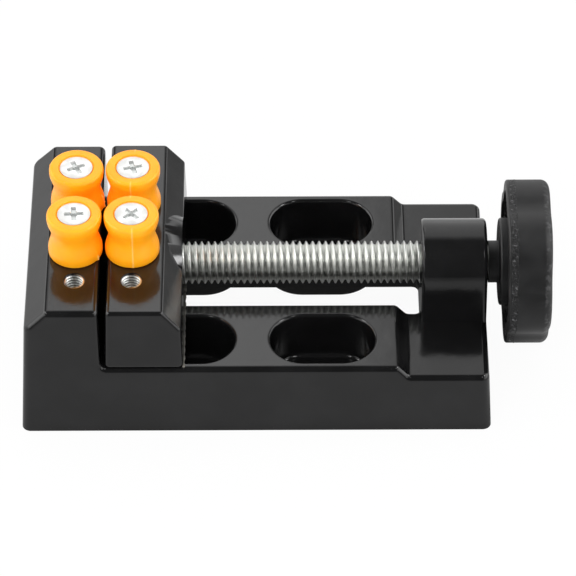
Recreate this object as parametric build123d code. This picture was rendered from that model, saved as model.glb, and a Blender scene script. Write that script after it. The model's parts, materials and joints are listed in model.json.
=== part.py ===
from build123d import *
import math
import os

# Mini bench vise, in millimetres. +X runs along the lead screw towards the handwheel, +Y points to
# the back and +Z up. The origin lies on the ground, under the middle of the whole vise.

# Base casting, outside
base_length = 107.3
base_width = 60.8
draft_angle = 3.0  # degrees, outer sides of the castings
corner_round = 2.0  # upright corners
edge_round = 1.4  # edges all round the front and back faces
contour_round = 1.4  # edges and inside corners across the vise
platform_height = 15.8
platform_length = 19.1
slope_length = 2.5
rail_height = 18.6
jaw_height = 35.3
fixed_face_lean = 0.6  # degrees
chamfer_height = 5.3
fixed_jaw_length = 18.65
fixed_chamfer_length = 5.0

# Base casting, gap between the rails and the walls that guide the jaw's tongue
gap_width = 16.8
gap_land = 1.75  # rail left between the jaw face and the gap
gap_corner = 1.5
gap_edge_round = 0.45
guide_wall = 2.5
guide_foot = 8.1

# Base casting, oblong pockets in the rails
pocket_length = 23.7
pocket_gap_wall = 3.55  # rail left between the gap and a pocket
pocket_outer_wall = 3.35  # rail left outside a pocket, at the base's foot
pocket_depth = 12.2
pocket_draft = 2.0  # degrees
pocket_edge_round = 0.8
pocket_floor_round = 1.5
pocket_spacing = 31.9
pocket_pair_place = 52.8  # end face to the middle of a rail's two pockets
cup_wall = 1.8
cup_floor = 2.9

# Base casting, underside
wall = 2.5
inner_corner_round = 1.0
rib_thickness = 2.5

# Tower that the lead screw is tapped through
tower_length = 15.0
tower_radius = 10.0
tower_flare = 8.5  # degrees, sides below the round top
tower_round = 0.9

# Moving jaw
rest_opening = 0.8  # between the jaw faces at the rails
moving_jaw_length = 17.75
moving_face_lean = 1.9  # degrees
moving_edge_round = 0.95
moving_contour_round = 1.1
moving_chamfer_length = 4.2
moving_outer_lean = 1.5  # degrees
boss_radius = 10.9
boss_length = 9.0
tongue_length = 15.0
tongue_inset = 1.6  # jaw face foot to the tongue
tongue_corner = 1.3

# Tapped holes in the jaw tops, M5
hole_radius = 2.5
hole_depth = 10.0
fixed_hole_inset = 5.67
moving_hole_inset = 5.7
peg_side = 7.8
spare_hole_side = 17.7

# Lead screw, M10
screw_radius = 4.9
screw_height = 24.13
screw_chamfer = 0.6
journal_radius = 4.0
journal_length = 9.8
shoulder_depth = 4.0  # boss face to the screw's shoulder
bore_end_room = 0.3
groove_radius = 3.0
groove_from_shoulder = 3.0  # shoulder to the middle of the groove
shank_radius = 4.0
shank_end_wall = 2.2  # plastic left over the end of the shank

# Screw retaining pin
pin_radius = 1.5
pin_length = 18.0
pin_recess = 0.5
pin_hole_room = 0.3

# Handwheel
neck_room = 0.55  # tower face to the neck
neck_radius = 4.85
neck_length = 2.4
hub_radius = 10.05
hub_step = 1.4
hub_round = 0.5
rim_width = 10.0
wheel_radius = 19.1
lobe_count = 6
lobe_radius = 10.0
valley_round = 8.0
lobe_start = 1.8  # degrees, where the first lobe stands at rest
rim_wall = 2.4
rim_inner_round = 0.6
rim_outer_round = 2.0
wheel_face_wall = 2.6
dish_radius = 12.5
dish_depth = 0.7

# Spool pegs
peg_height = 11.55
peg_foot_radius = 6.15
peg_waist_radius = 5.3
peg_rim_radius = 6.2
peg_foot_flange = 2.1
peg_rim_flange = 2.2
peg_foot_bevel = 0.4
peg_rim_round = 0.8
peg_recess_radius = 3.95

# Peg screws, M5 with a flat head
peg_screw_length = 20.0
peg_head_radius = 3.73
peg_head_rim = 0.15
peg_head_sink = 0.21  # peg top to head top

# Guide plate under the guide walls, with its M3 screws and spring washers
plate_length = 15.5
plate_width = 19.2
plate_thickness = 2.5
plate_corner = 1.5
plate_screw_side = 4.4
plate_screw_radius = 1.5
plate_screw_length = 8.0
plate_head_radius = 2.8
plate_head_height = 2.2
plate_head_bevel = 0.6
washer_radius = 2.9
washer_thickness = 0.8
plate_tap_room = 0.8

# Clearances
slide_clearance = 0.25  # jaw foot over the rails
guide_clearance = 0.2  # tongue between the guide walls, each side
plate_clearance = 0.25  # guide plate under the guide walls
running_clearance = 0.05  # turning fits, on the radius
fit_clearance = 0.02  # pieces that are fixed in one another, on the radius
peg_bore_clearance = 0.1
overrun = 5.0  # how far a cutter or a blank runs past what it cuts
slope_match = 0.001  # two faces slope alike, and two places are one, within this
upward_share = 0.5  # a face looks up when more than this share of its normal does

# Places worked out from the sizes
draft = math.tan(math.radians(draft_angle))
fixed_lean = math.tan(math.radians(fixed_face_lean))
moving_lean = math.tan(math.radians(moving_face_lean))
outer_lean = math.tan(math.radians(moving_outer_lean))
wheel_length = neck_length + hub_step + rim_width
overall_length = base_length - draft * platform_height + neck_room + wheel_length
base_left = -overall_length / 2
base_right = base_left + base_length
base_middle = (base_left + base_right) / 2
face_foot_x = base_left + fixed_jaw_length
face_top_x = face_foot_x - fixed_lean * (jaw_height - rail_height)
chamfer_foot_height = jaw_height - chamfer_height
fixed_top_x = base_left + draft * chamfer_foot_height + fixed_chamfer_length
slope_foot_x = base_right - platform_length
slope_top_x = slope_foot_x - slope_length
tower_face_x = base_right - draft * platform_height
tower_left = tower_face_x - tower_length
gap_left = face_foot_x + gap_land
gap_length = tower_left - gap_left
gap_middle = gap_left + gap_length / 2
hole_foot = jaw_height - hole_depth
hollow_top = hole_foot  # the fixed jaw's holes open into the hollow under it
deck_height = rail_height - wall
pocket_width = (base_width - gap_width) / 2 - pocket_gap_wall - pocket_outer_wall
pocket_side = (gap_width + pocket_width) / 2 + pocket_gap_wall

jaw_foot = rail_height + slide_clearance
moving_foot_x = face_foot_x + rest_opening
moving_top_x = moving_foot_x + moving_lean * (jaw_height - jaw_foot)
outer_foot_x = moving_foot_x + moving_jaw_length
outer_chamfer_x = outer_foot_x - outer_lean * (chamfer_foot_height - jaw_foot)
outer_top_x = outer_foot_x - outer_lean * (jaw_height - jaw_foot)
moving_chamfer_x = outer_chamfer_x - moving_chamfer_length
boss_face_x = outer_foot_x - outer_lean * (screw_height - jaw_foot)
plate_top = guide_foot - plate_clearance
tongue_middle = moving_foot_x + tongue_inset + tongue_length / 2

shoulder_x = boss_face_x - shoulder_depth
journal_end_x = shoulder_x - journal_length
groove_x = shoulder_x - groove_from_shoulder
groove_width = 2 * (pin_radius + running_clearance)
pin_side = groove_radius + running_clearance + pin_radius
neck_x = tower_face_x + neck_room
hub_x = neck_x + neck_length
rim_x = hub_x + hub_step
wheel_end_x = rim_x + rim_width
shank_end_x = wheel_end_x - dish_depth - shank_end_wall

fixed_hole_x = face_top_x - fixed_hole_inset
moving_hole_x = moving_top_x + moving_hole_inset
peg_sides = {"front": -peg_side, "back": peg_side}
hole_sides = (-spare_hole_side, -peg_side, peg_side, spare_hole_side)
plate_screw_places = {
    "left": tongue_middle - plate_screw_side,
    "right": tongue_middle + plate_screw_side,
}


def shared_edges(some, others):
    """Edges that a face of one list has in common with a face of the other."""
    candidates = [edge for face in others for edge in face.edges()]
    return ShapeList(
        edge
        for face in some
        for edge in face.edges()
        if any(edge.is_same(other) for other in candidates)
    )


def drafted_block(inset, corner, height):
    """Block of the base's plan, drawn in by inset, with its sides at the castings' draft."""
    plan = Rectangle(base_length - 2 * inset, base_width - 2 * inset)
    block = extrude(plan, amount=height, taper=draft_angle)
    ends = shared_edges(block.faces().sort_by(Axis.Z)[:1], block.faces())
    ends += shared_edges(block.faces().sort_by(Axis.Z)[-1:], block.faces())
    corners = [e for e in block.edges() if not any(e.is_same(end) for end in ends)]
    return Pos(base_middle, 0, 0) * fillet(corners, corner)


def across(outline):
    """An outline drawn in X and Z, carried across the whole width of the vise."""
    return extrude(Plane.XZ * outline, amount=base_width / 2 + overrun, both=True)


def along(radius, start, end):
    """A round bar on the lead screw's axis, from one X place to the other."""
    bar = Cylinder(radius, end - start, rotation=(0, 90, 0))
    return Pos((start + end) / 2, 0, screw_height) * bar


def upright(radius, x, y, foot, top):
    """An upright round bar at x, y between two heights."""
    return Pos(x, y, (foot + top) / 2) * Cylinder(radius, top - foot)


def turned(outline, x, y, z):
    """A turned piece: a half outline of radius over height, spun about its upright axis."""
    return Pos(x, y, z) * revolve(Plane.XZ * outline, axis=Axis.Z)


def round_rims(block, size):
    """Round the edges where a casting's drafted sides meet everything but each other."""
    slope = math.sin(math.radians(draft_angle))
    sides = [f for f in block.faces() if abs(f.normal_at().Z - slope) < slope_match]
    others = [f for f in block.faces() if abs(f.normal_at().Z - slope) >= slope_match]
    rims = [e for e in shared_edges(sides, others) if e.center().Z > slope_match]
    return fillet(rims, size)


# Base casting

def base_outline():
    """Side view of the base, running past both ends where the drafted block trims it."""
    chamfer_slope = chamfer_height / fixed_chamfer_length
    end_height = jaw_height - chamfer_slope * (fixed_top_x - base_left + overrun)
    line = Polyline(
        (base_left - overrun, 0),
        (base_left - overrun, end_height),
        (fixed_top_x, jaw_height),
        (face_top_x, jaw_height),
        (face_foot_x, rail_height),
        (slope_top_x, rail_height),
        (slope_foot_x, platform_height),
        (base_right + overrun, platform_height),
        (base_right + overrun, 0),
        close=True,
    )
    outline = make_face(line)
    corners = [v for v in outline.vertices() if v.Y > 0 and base_left < v.X < base_right]
    return fillet(corners, contour_round)


def pocket_places():
    """Middle of each of the four pockets."""
    middle = base_left + pocket_pair_place
    return [
        (middle + side * pocket_spacing / 2, row * pocket_side)
        for side in (-1, 1)
        for row in (-1, 1)
    ]


def sunk_slot(length, width, depth):
    """An oblong body that hangs from the rails' top and narrows downwards."""
    return Rot(180, 0, 0) * extrude(SlotOverall(length, width), amount=depth, taper=pocket_draft)


def outer_casting():
    """The base's outside, still solid underneath, with its gap and pockets."""
    block = across(base_outline()) & drafted_block(0, corner_round, jaw_height)
    block = round_rims(block, edge_round)
    gap = RectangleRounded(gap_length, gap_width, gap_corner)
    block -= Pos(gap_middle, 0, 0) * extrude(gap, amount=jaw_height)
    upright_faces = [f for f in block.faces() if abs(f.normal_at().Z) < slope_match]
    tops = [f for f in block.faces() if f.normal_at().Z > upward_share]
    block = fillet(shared_edges(upright_faces, tops), gap_edge_round)
    pocket = sunk_slot(pocket_length, pocket_width, pocket_depth)
    pocket = fillet(pocket.faces().sort_by(Axis.Z)[0].edges(), pocket_floor_round)
    for x, y in pocket_places():
        block -= Pos(x, y, rail_height) * pocket
    rails = [
        f for f in block.faces()
        if abs(f.center().Z - rail_height) < slope_match and f.normal_at().Z > 0
    ]
    rims = [e for f in rails for wire in f.inner_wires() for e in wire.edges()]
    return fillet(rims, pocket_edge_round)


def underside():
    """The hollow under the base: what the walls, cups, guide walls and rib leave open."""
    slope_angle = math.atan2(rail_height - platform_height, slope_length)
    slope_shift = wall * math.tan(slope_angle / 2)
    line = Polyline(
        (base_left, 0),
        (base_left, hollow_top),
        (face_top_x - wall, hollow_top),
        (face_top_x - wall, deck_height),
        (slope_top_x - slope_shift, deck_height),
        (slope_foot_x - slope_shift, platform_height - wall),
        (base_right, platform_height - wall),
        (base_right, 0),
        close=True,
    )
    hollow = across(make_face(line)) & drafted_block(wall, inner_corner_round, jaw_height)
    walls = RectangleRounded(
        gap_length + 2 * guide_wall, gap_width + 2 * guide_wall, gap_corner + guide_wall
    )
    guide = extrude(walls, amount=rail_height - guide_foot)
    hollow -= Pos(gap_middle, 0, guide_foot) * guide
    cup = sunk_slot(
        pocket_length + 2 * cup_wall, pocket_width + 2 * cup_wall, pocket_depth + cup_floor
    )
    for x, y in pocket_places():
        hollow -= Pos(x, y, rail_height) * cup
    rib_end = gap_left - guide_wall / 2
    rib = Box(rib_end - base_left, rib_thickness, jaw_height - guide_foot)
    rib_height = (jaw_height + guide_foot) / 2
    return hollow - Pos((base_left + rib_end) / 2, 0, rib_height) * rib


def tower():
    """Round-topped tower with flared sides, its outer face over the base's upper edge."""
    foot = platform_height - wall
    flare = math.radians(tower_flare)
    side = tower_radius * math.cos(flare)
    side_top = screw_height + tower_radius * math.sin(flare)
    foot_side = side + (side_top - foot) * math.tan(flare)
    flanks = Polyline(
        (-side, side_top), (-foot_side, foot), (foot_side, foot), (side, side_top), close=True
    )
    outline = Pos(0, screw_height) * Circle(tower_radius) + make_face(flanks)
    lump = Pos(tower_left, 0, 0) * extrude(Plane.YZ * outline, amount=tower_length)
    ends = [lump.faces().sort_by(Axis.X)[0], lump.faces().sort_by(Axis.X)[-1]]
    rims = [e for f in ends for e in f.edges() if e.center().Z > foot + slope_match]
    return fillet(rims, tower_round)


def base_casting():
    """Rails, pockets, fixed jaw and tower in one piece."""
    casting = outer_casting() - underside() + tower()
    casting -= along(screw_radius + running_clearance, tower_left - overrun, base_right)
    for y in hole_sides:
        casting -= upright(hole_radius, fixed_hole_x, y, hole_foot, jaw_height)
    return casting


# Moving jaw

def moving_jaw_block():
    """The jaw above the rails, with all its outer edges rounded."""
    line = Polyline(
        (moving_foot_x, jaw_foot),
        (moving_top_x, jaw_height),
        (moving_chamfer_x, jaw_height),
        (outer_chamfer_x, chamfer_foot_height),
        (outer_foot_x, jaw_foot),
        close=True,
    )
    outline = make_face(line)
    block = across(fillet(outline.vertices(), moving_contour_round))
    return round_rims(block & drafted_block(0, corner_round, jaw_height), moving_edge_round)


def screw_boss():
    """Round boss that stands out of the jaw's chamfer, flush with its outer face."""
    line = Polyline(
        (moving_foot_x, jaw_foot),
        (moving_top_x, jaw_height),
        (outer_top_x, jaw_height),
        (outer_foot_x, jaw_foot),
        close=True,
    )
    bar = along(boss_radius, boss_face_x - boss_length, outer_foot_x)
    return bar & across(make_face(line))


def moving_jaw():
    """Jaw, boss and tongue in one piece, with the bores for the screw and its pin."""
    jaw = moving_jaw_block() + screw_boss()
    tongue_width = gap_width - 2 * guide_clearance
    tongue = RectangleRounded(tongue_length, tongue_width, tongue_corner)
    tongue_height = jaw_foot + wall - plate_top
    jaw += Pos(tongue_middle, 0, plate_top) * extrude(tongue, amount=tongue_height)
    jaw -= along(screw_radius + 2 * running_clearance, shoulder_x, outer_foot_x + overrun)
    bore_end = journal_end_x - bore_end_room
    jaw -= along(journal_radius + running_clearance, bore_end, outer_foot_x)
    pin_top = plate_top + pin_recess + pin_length + pin_hole_room
    jaw -= upright(pin_radius + fit_clearance, groove_x, pin_side, plate_top, pin_top)
    for y in hole_sides:
        jaw -= upright(hole_radius, moving_hole_x, y, hole_foot, jaw_height)
    tap_top = plate_top - plate_thickness - washer_thickness + plate_screw_length + plate_tap_room
    for x in plate_screw_places.values():
        jaw -= upright(plate_screw_radius, x, 0, plate_top, tap_top)
    return jaw


# Lead screw and what holds it

def lead_screw():
    """Journal with its groove, threaded length at full diameter, and shank in the handwheel."""
    screw = along(journal_radius, journal_end_x, shoulder_x)
    thread = along(screw_radius, shoulder_x, neck_x)
    screw += chamfer(thread.edges().filter_by(GeomType.CIRCLE), screw_chamfer)
    screw += along(shank_radius, shoulder_x, shank_end_x)
    groove = along(screw_radius, groove_x - groove_width / 2, groove_x + groove_width / 2)
    groove -= along(groove_radius, groove_x - groove_width, groove_x + groove_width)
    screw -= groove
    end = screw.faces().sort_by(Axis.X)[0]
    return chamfer(end.edges(), screw_chamfer)


def retaining_pin():
    """Straight pin that stands in the screw's groove."""
    foot = plate_top + pin_recess
    pin = upright(pin_radius, groove_x, pin_side, foot, foot + pin_length)
    return chamfer(pin.edges().filter_by(GeomType.CIRCLE), pin_recess)


# Handwheel

def lobed_outline(radius, valley):
    """Outline of lobes round a circle, each an arc of the given radius, with rounded valleys."""
    reach = wheel_radius - lobe_radius
    lobes = Circle(reach) + PolarLocations(reach, lobe_count, lobe_start) * Circle(radius)
    return fillet(lobes.vertices(), valley)


def handwheel():
    """Lobed wheel, hollow towards the tower, with its hub disc and neck."""
    rim = Pos(rim_x, 0, 0) * extrude(Plane.YZ * lobed_outline(lobe_radius, valley_round), rim_width)
    rim = fillet(rim.faces().sort_by(Axis.X)[-1].edges(), rim_outer_round)
    rim = fillet(rim.faces().sort_by(Axis.X)[0].edges(), rim_inner_round)
    cavity = extrude(
        Plane.YZ * lobed_outline(lobe_radius - rim_wall, valley_round + rim_wall),
        rim_width - wheel_face_wall,
    )
    rim -= Pos(rim_x, 0, 0) * cavity
    dish = Pos(wheel_end_x - dish_depth / 2, 0, 0) * Cylinder(
        dish_radius, dish_depth, rotation=(0, 90, 0)
    )
    wheel = Pos(0, 0, screw_height) * (rim - dish)
    hub = along(hub_radius, hub_x, wheel_end_x - wheel_face_wall)
    hub = fillet(hub.edges().filter_by(GeomType.CIRCLE).sort_by(Axis.X)[0], hub_round)
    wheel += hub
    wheel += along(neck_radius, neck_x, hub_x + hub_step)
    return wheel - along(shank_radius + fit_clearance, neck_x, shank_end_x + fit_clearance)


# Pegs and their screws

def corners_at(outline, height):
    """Outer corners of a half outline at one height."""
    return [v for v in outline.vertices() if v.X > 0 and abs(v.Y - height) < slope_match]


def spool_peg(x, y):
    """Waisted peg with a bore and a seat for the screw's flat head."""
    waist_foot = (peg_foot_radius, peg_foot_flange)
    waist_top = (peg_rim_radius, peg_height - peg_rim_flange)
    waist_middle = (peg_waist_radius, (waist_foot[1] + waist_top[1]) / 2)
    line = Polyline(waist_foot, (peg_foot_radius, 0), (0, 0), (0, peg_height))
    line += Polyline((0, peg_height), (peg_rim_radius, peg_height), waist_top)
    line += Spline(waist_top, waist_middle, waist_foot, tangents=[(0, -1), (0, -1)])
    outline = make_face(line)
    outline = chamfer(corners_at(outline, 0), peg_foot_bevel)
    outline = fillet(corners_at(outline, peg_height), peg_rim_round)
    peg = turned(outline, x, y, jaw_height)
    seat = turned(head_outline(peg_recess_radius - peg_head_radius), x, y, head_top())
    recess = upright(peg_recess_radius, x, y, head_top(), jaw_height + peg_height)
    bore = upright(hole_radius + peg_bore_clearance, x, y, jaw_height, head_top())
    return peg - seat - recess - bore


def head_top():
    """Height of the peg screws' heads."""
    return jaw_height + peg_height - peg_head_sink


def head_outline(room):
    """Half outline of a flat screw head with its top at zero, grown by room."""
    cone = peg_head_radius - hole_radius
    radius = peg_head_radius + room
    return make_face(Polyline(
        (0, 0),
        (radius, 0),
        (radius, -peg_head_rim),
        (hole_radius, -peg_head_rim - cone - room),
        (0, -peg_head_rim - cone - room),
        close=True,
    ))


def peg_screw(x, y):
    """Flat-head screw, its thread drawn plain."""
    top = head_top()
    shank = upright(hole_radius - running_clearance, x, y, top - peg_screw_length, top)
    tip = shank.edges().filter_by(GeomType.CIRCLE).sort_by(Axis.Z)[0]
    return chamfer(tip, screw_chamfer) + turned(head_outline(0), x, y, top)


# Guide plate and its fasteners

def guide_plate():
    """Plate that keeps the tongue between the guide walls."""
    plan = RectangleRounded(plate_length, plate_width, plate_corner)
    plate = Pos(tongue_middle, 0, plate_top - plate_thickness) * extrude(plan, plate_thickness)
    for x in plate_screw_places.values():
        hole = plate_screw_radius + peg_bore_clearance
        plate -= upright(hole, x, 0, plate_top - plate_thickness, plate_top)
    return plate


def spring_washer(x):
    """Washer between a plate screw's head and the plate."""
    top = plate_top - plate_thickness
    washer = upright(washer_radius, x, 0, top - washer_thickness, top)
    hole = plate_screw_radius + peg_bore_clearance
    return washer - upright(hole, x, 0, top - washer_thickness, top)


def plate_screw(x):
    """Pan-head screw, its thread drawn plain."""
    seat = plate_top - plate_thickness - washer_thickness
    head = upright(plate_head_radius, x, 0, seat - plate_head_height, seat)
    head = chamfer(head.edges().filter_by(GeomType.CIRCLE).sort_by(Axis.Z)[0], plate_head_bevel)
    shank = upright(plate_screw_radius - running_clearance, x, 0, seat, seat + plate_screw_length)
    return head + shank


def build():
    """Every piece of the vise under its own name."""
    pieces = {
        "base_casting": base_casting(),
        "moving_jaw": moving_jaw(),
        "lead_screw": lead_screw(),
        "screw_retaining_pin": retaining_pin(),
        "handwheel": handwheel(),
        "guide_plate": guide_plate(),
    }
    for end, x in plate_screw_places.items():
        pieces["guide_plate_screw_" + end] = plate_screw(x)
        pieces["guide_plate_washer_" + end] = spring_washer(x)
    for jaw, x in (("fixed", fixed_hole_x), ("moving", moving_hole_x)):
        for side, y in peg_sides.items():
            pieces["peg_" + jaw + "_" + side] = spool_peg(x, y)
            pieces["peg_screw_" + jaw + "_" + side] = peg_screw(x, y)
    return pieces


os.makedirs("parts", exist_ok=True)
for node, shape in build().items():
    export_step(shape, "parts/" + node + ".step")
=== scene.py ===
"""Visual model of a mini bench vise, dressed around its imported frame.

Lengths in the dataclass fields are millimetres. They become metres where a mesh is made.
"""

import json
import logging
import math
from collections.abc import Callable, Iterator, Sequence
from contextlib import contextmanager
from dataclasses import dataclass, field
from enum import Enum

import bpy
from mathutils import Matrix, Vector

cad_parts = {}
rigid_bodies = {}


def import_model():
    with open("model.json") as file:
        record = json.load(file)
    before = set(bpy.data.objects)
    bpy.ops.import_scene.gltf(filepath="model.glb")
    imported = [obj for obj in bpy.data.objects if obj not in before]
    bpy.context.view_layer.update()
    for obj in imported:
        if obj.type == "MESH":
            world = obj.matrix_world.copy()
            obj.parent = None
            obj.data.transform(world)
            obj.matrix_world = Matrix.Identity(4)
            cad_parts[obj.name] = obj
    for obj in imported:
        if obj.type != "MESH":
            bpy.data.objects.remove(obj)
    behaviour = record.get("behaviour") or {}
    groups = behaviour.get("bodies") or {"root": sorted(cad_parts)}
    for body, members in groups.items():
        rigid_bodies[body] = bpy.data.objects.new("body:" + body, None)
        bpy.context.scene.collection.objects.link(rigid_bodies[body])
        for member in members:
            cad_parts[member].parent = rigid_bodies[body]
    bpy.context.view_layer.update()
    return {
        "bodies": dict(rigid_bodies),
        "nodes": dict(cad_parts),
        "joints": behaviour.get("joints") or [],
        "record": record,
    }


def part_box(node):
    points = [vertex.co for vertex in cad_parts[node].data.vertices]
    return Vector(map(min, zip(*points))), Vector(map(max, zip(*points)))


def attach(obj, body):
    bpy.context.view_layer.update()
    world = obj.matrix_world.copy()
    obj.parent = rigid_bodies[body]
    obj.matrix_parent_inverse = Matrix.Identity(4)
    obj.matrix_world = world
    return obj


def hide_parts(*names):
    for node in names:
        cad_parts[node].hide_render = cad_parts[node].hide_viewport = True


LOG = logging.getLogger("vise")
MM = 0.001

# Radius in millimetres of a ring that stands for a point.
POINT_RADIUS = 0.001
# Degrees below which two faces count as one flat face.
FLAT_ANGLE = 0.05
# Upright part of the normal below which a face counts as pointing down.
DOWNWARD = -0.9

Point = tuple[float, float, float]
Colour = tuple[float, float, float]
Pair = tuple[float, float]
Profile = Sequence[Pair]


class Body(Enum):
    """Rigid bodies of the vise."""

    BASE = "base"
    JAW = "jaw"
    SCREW = "screw"


class Slot(Enum):
    """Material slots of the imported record."""

    PAINT = "black_paint"
    ZINC = "zinc_steel"
    GROUND = "ground_steel"
    WHEEL = "handwheel_plastic"
    PEG = "peg_plastic"


class Grip(Enum):
    """What an edit-mode operator takes hold of."""

    VERTS = "VERT"
    EDGES = "EDGE"
    FACES = "FACE"


# Materials


class Wire:
    """A socket of a material's node tree, with arithmetic that adds Math nodes."""

    def __init__(self, sheet: "Sheet", socket: bpy.types.NodeSocket) -> None:
        """Hold a socket.

        Args:
            sheet: node tree that the socket belongs to.
            socket: output socket that carries the value.
        """
        self.sheet = sheet
        self.socket = socket

    def _maths(self, operation: str, *values: "Wire | float") -> "Wire":
        """Add a Math node.

        Args:
            operation: the node's operation.
            values: its inputs in order.

        Returns:
            The node's value.
        """
        inputs = dict(enumerate(values))
        return self.sheet.node("ShaderNodeMath", {"operation": operation}, inputs)[0]

    def __add__(self, other: "Wire | float") -> "Wire":
        """Sum."""
        return self._maths("ADD", self, other)

    def __radd__(self, other: float) -> "Wire":
        """Sum with a number on the left."""
        return self._maths("ADD", other, self)

    def __sub__(self, other: "Wire | float") -> "Wire":
        """Difference."""
        return self._maths("SUBTRACT", self, other)

    def __rsub__(self, other: float) -> "Wire":
        """Difference with a number on the left."""
        return self._maths("SUBTRACT", other, self)

    def __mul__(self, other: "Wire | float") -> "Wire":
        """Product."""
        return self._maths("MULTIPLY", self, other)

    def __rmul__(self, other: float) -> "Wire":
        """Product with a number on the left."""
        return self._maths("MULTIPLY", other, self)

    def __pow__(self, other: "Wire | float") -> "Wire":
        """Power."""
        return self._maths("POWER", self, other)

    def __abs__(self) -> "Wire":
        """Size without its sign."""
        return self._maths("ABSOLUTE", self)

    def between(self, low: float, high: float) -> "Wire":
        """Ramp smoothly from 0 at low to 1 at high.

        Args:
            low: value that gives 0.
            high: value that gives 1.

        Returns:
            The ramp's value, kept between 0 and 1.
        """
        settings = {"interpolation_type": "SMOOTHSTEP"}
        inputs = {"Value": self, "From Min": low, "From Max": high}
        return self.sheet.node("ShaderNodeMapRange", settings, inputs)[0]


class Sheet:
    """Node tree of one material or of the world."""

    def __init__(self, tree: bpy.types.NodeTree) -> None:
        """Start an empty tree.

        Args:
            tree: node tree to fill.
        """
        self.tree = tree
        tree.nodes.clear()

    def node(
        self,
        kind: str,
        settings: dict[str, object] | None = None,
        inputs: dict[str | int, "Wire | float | tuple"] | None = None,
    ) -> list[Wire]:
        """Add any node.

        Args:
            kind: the node's type.
            settings: properties, set before the sockets.
            inputs: values or links of the sockets, by name or place.

        Returns:
            The node's outputs in order.
        """
        made = self.tree.nodes.new(kind)
        for key, value in (settings or {}).items():
            setattr(made, key, value)
        self._fill(made, inputs or {})
        return [Wire(self, socket) for socket in made.outputs if socket.enabled]

    def _fill(self, made: bpy.types.Node, inputs: dict[str | int, "Wire | float | tuple"]) -> None:
        """Set or link a node's sockets.

        Args:
            made: the node.
            inputs: values or links of the sockets, by name or place.
        """
        for key, value in inputs.items():
            if isinstance(value, Wire):
                self.tree.links.new(value.socket, made.inputs[key])
            else:
                made.inputs[key].default_value = value

    def place(self) -> Wire:
        """Object coordinates."""
        return self.node("ShaderNodeTexCoord")[3]

    def rays(self) -> tuple[Wire, Wire]:
        """Values that are 1 for what the camera sees, and 1 for what glossy surfaces show."""
        path = self.node("ShaderNodeLightPath")
        return path[0], path[3]

    def split(self, vector: Wire) -> list[Wire]:
        """Three parts of a vector."""
        return self.node("ShaderNodeSeparateXYZ", inputs={0: vector})

    def dot(self, first: Wire, second: Vector) -> Wire:
        """Dot product of a vector socket and a fixed vector."""
        inputs = {0: first, 1: tuple(second)}
        return self.node("ShaderNodeVectorMath", {"operation": "DOT_PRODUCT"}, inputs)[0]

    def grain(self, size: float, detail: float = 2.0, stretch: Point = (1, 1, 1)) -> Wire:
        """Noise on object coordinates.

        Args:
            size: rough size of a patch in millimetres.
            detail: octaves of finer noise.
            stretch: scale of the pattern along each axis.

        Returns:
            Noise around a half.
        """
        mapped = self.node("ShaderNodeMapping", inputs={"Vector": self.place(), "Scale": stretch})
        inputs = {"Vector": mapped[0], "Scale": 1 / (size * MM), "Detail": detail}
        return self.node("ShaderNodeTexNoise", inputs=inputs)[0]

    def mix(self, share: "Wire | float", first: "Wire | tuple", second: "Wire | tuple") -> Wire:
        """Blend two colours.

        Args:
            share: how much of the second colour shows.
            first: colour at 0.
            second: colour at 1.

        Returns:
            The blended colour.
        """
        # The node's colours are its inputs 6 and 7 and its output 2.
        made = self.tree.nodes.new("ShaderNodeMix")
        made.data_type = "RGBA"
        ends = [end if isinstance(end, Wire) else (*end, 1.0) for end in (first, second)]
        self._fill(made, {0: share, 6: ends[0], 7: ends[1]})
        return Wire(self, made.outputs[2])

    def bump(self, height: Wire, depth: float, under: Wire | None = None) -> Wire:
        """Turn a height into a normal.

        Args:
            height: height pattern.
            depth: what one unit of height stands for, in millimetres.
            under: normal of a coarser bump below this one.

        Returns:
            The bumped normal.
        """
        inputs: dict = {"Height": height, "Distance": depth * MM, "Strength": 1.0}
        if under is not None:
            inputs["Normal"] = under
        return self.node("ShaderNodeBump", inputs=inputs)[0]

    def surface(self, inputs: dict[str, "Wire | float | tuple"]) -> None:
        """Finish the tree with a Principled surface.

        Args:
            inputs: values or links of the shader's sockets.
        """
        shader = self.node("ShaderNodeBsdfPrincipled", inputs=inputs)[0]
        self.node("ShaderNodeOutputMaterial", inputs={"Surface": shader})

    def glow(self, share: Wire, under: Wire, level: "Wire | float") -> None:
        """Finish the tree with a white glow over another shader.

        Args:
            share: how much of the glow shows.
            under: the shader below it.
            level: the glow's strength.
        """
        light = {"Color": (1, 1, 1, 1), "Strength": level}
        shine = self.node("ShaderNodeEmission", inputs=light)[0]
        mixed = self.node("ShaderNodeMixShader", inputs={0: share, 1: under, 2: shine})[0]
        self.node("ShaderNodeOutputMaterial", inputs={"Surface": mixed})


def new_sheet(name: str) -> tuple[bpy.types.Material, Sheet]:
    """Make a material with an empty node tree.

    Args:
        name: the material's name.

    Returns:
        The material and its tree.
    """
    material = bpy.data.materials.new(name)
    material.use_nodes = True
    return material, Sheet(material.node_tree)


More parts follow.
